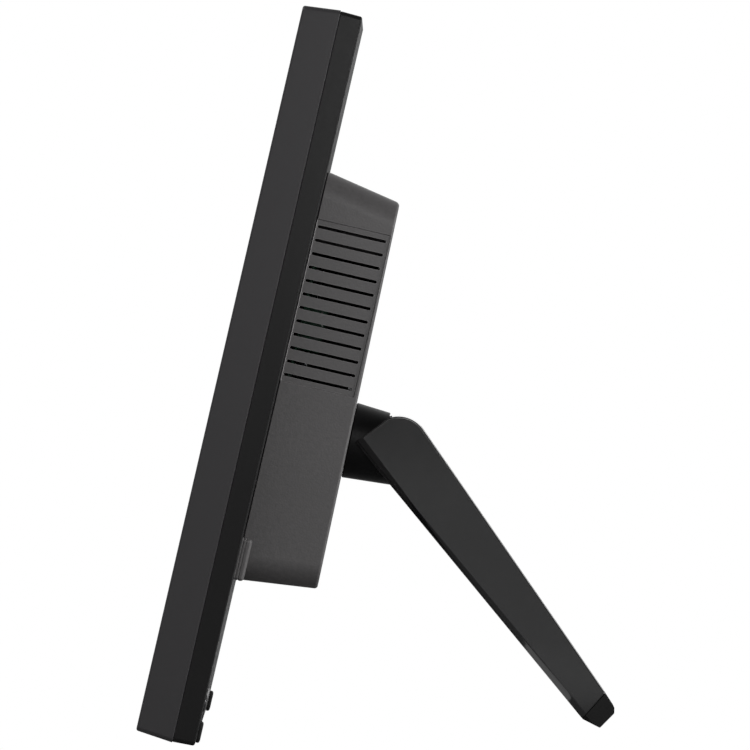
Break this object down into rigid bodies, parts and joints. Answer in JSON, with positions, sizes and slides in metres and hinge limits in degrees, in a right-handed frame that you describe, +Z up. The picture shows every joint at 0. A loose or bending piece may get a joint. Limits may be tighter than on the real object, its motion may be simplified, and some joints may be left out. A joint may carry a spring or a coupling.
{
  "type": "digital photo frame",
  "caption": "Large digital photo frame leaning back on a single hinged leg, with a boxed electronics cover, side vents and control keys on its back.",
  "frame": {"origin": "on the surface it stands on, under the middle of its footprint", "axes": "+X to the viewer's right when facing the screen, +Y backwards from screen to leg, +Z up; the screen faces -Y and leans back 13 degrees"},
  "size_m": [0.366, 0.188, 0.2861],
  "materials": {
    "bezel_plastic": "fine satin grain",
    "cover_plastic": "satin",
    "box_plastic": "fine textured grain",
    "gloss_black": "polished",
    "key_plastic": "satin",
    "rubber": "matt",
    "screen_glass": "clear, polished",
    "lcd_black": "polarising film",
    "white_plastic": "matt",
    "dark_steel": "black zinc",
    "steel": "brushed",
    "aluminium": "plain",
    "circuit_board": "solder mask",
    "chip_plastic": "moulded"
  },
  "bodies": {
    "housing": {"front_bezel": "bezel_plastic", "rear_cover": "cover_plastic", "screen_window": "screen_glass", "lcd_cell": "lcd_black", "light_guide": "white_plastic", "lcd_frame": "dark_steel", "lcd_back_plate": "steel", "chassis_plate": "steel", "main_board": "circuit_board", "driver_board": "circuit_board", "processor_chip": "chip_plastic", "heatsink": "aluminium", "battery_holder": "chip_plastic", "coin_cell": "steel", "display_cable": "white_plastic", "card_socket": "steel", "usb_socket": "steel", "audio_jack": "chip_plastic", "dc_inlet": "chip_plastic", "electronics_cover": "box_plastic", "neck_plate": "steel", "speaker_left": "chip_plastic", "speaker_right": "chip_plastic", "button_board": "circuit_board", "rocker_board": "circuit_board", "ir_window": "gloss_black", "ir_sensor": "chip_plastic", "bumper_left": "rubber", "bumper_right": "rubber", "stand_neck": "gloss_black", "cover_screw_1": "dark_steel", "cover_screw_2": "dark_steel", "cover_screw_3": "dark_steel", "cover_screw_4": "dark_steel", "box_screw_1": "dark_steel", "box_screw_2": "dark_steel", "box_screw_3": "dark_steel", "box_screw_4": "dark_steel", "neck_screw_1": "steel", "neck_screw_2": "steel", "neck_screw_3": "steel"},
    "leg": {"leg_shell": "gloss_black", "leg_front_cover": "gloss_black", "leg_screw_1": "dark_steel", "leg_screw_2": "dark_steel", "leg_foot": "rubber", "hinge_bracket": "steel", "hinge_pin": "steel", "hinge_nut": "steel", "friction_washer_left": "steel", "friction_washer_right": "steel"},
    "power_key": {"power_button": "key_plastic"},
    "menu_key": {"menu_button": "key_plastic"},
    "back_key": {"back_button": "key_plastic"},
    "previous_key": {"previous_button": "key_plastic"},
    "next_key": {"next_button": "key_plastic"},
    "play_key": {"play_button": "key_plastic"},
    "rocker": {"select_rocker": "box_plastic"}
  },
  "joints": [
    {"name": "leg_hinge", "type": "hinge", "parent": "housing", "child": "leg", "pos_m": [0, 0.00852, 0.1122], "axis": [1, 0, 0], "range_deg": [-48.3, 0]},
    {"name": "power_press", "type": "slide", "parent": "housing", "child": "power_key", "axis": [0, -0.9744, 0.225], "range_m": [0, 0.0006], "stiffness_N_per_m": 1500},
    {"name": "menu_press", "type": "slide", "parent": "housing", "child": "menu_key", "axis": [0, -0.9744, 0.225], "range_m": [0, 0.0006], "stiffness_N_per_m": 1500},
    {"name": "back_press", "type": "slide", "parent": "housing", "child": "back_key", "axis": [0, -0.9744, 0.225], "range_m": [0, 0.0006], "stiffness_N_per_m": 1500},
    {"name": "previous_press", "type": "slide", "parent": "housing", "child": "previous_key", "axis": [0, -0.9744, 0.225], "range_m": [0, 0.0006], "stiffness_N_per_m": 1500},
    {"name": "next_press", "type": "slide", "parent": "housing", "child": "next_key", "axis": [0, -0.9744, 0.225], "range_m": [0, 0.0006], "stiffness_N_per_m": 1500},
    {"name": "play_press", "type": "slide", "parent": "housing", "child": "play_key", "axis": [0, -0.9744, 0.225], "range_m": [0, 0.0006], "stiffness_N_per_m": 1500},
    {"name": "rocker_tilt", "type": "hinge", "parent": "housing", "child": "rocker", "pos_m": [0.152, -0.05826, 0.07231], "axis": [1, 0, 0], "range_deg": [-3, 3], "stiffness_Nm_per_rad": 0.2}
  ]
}
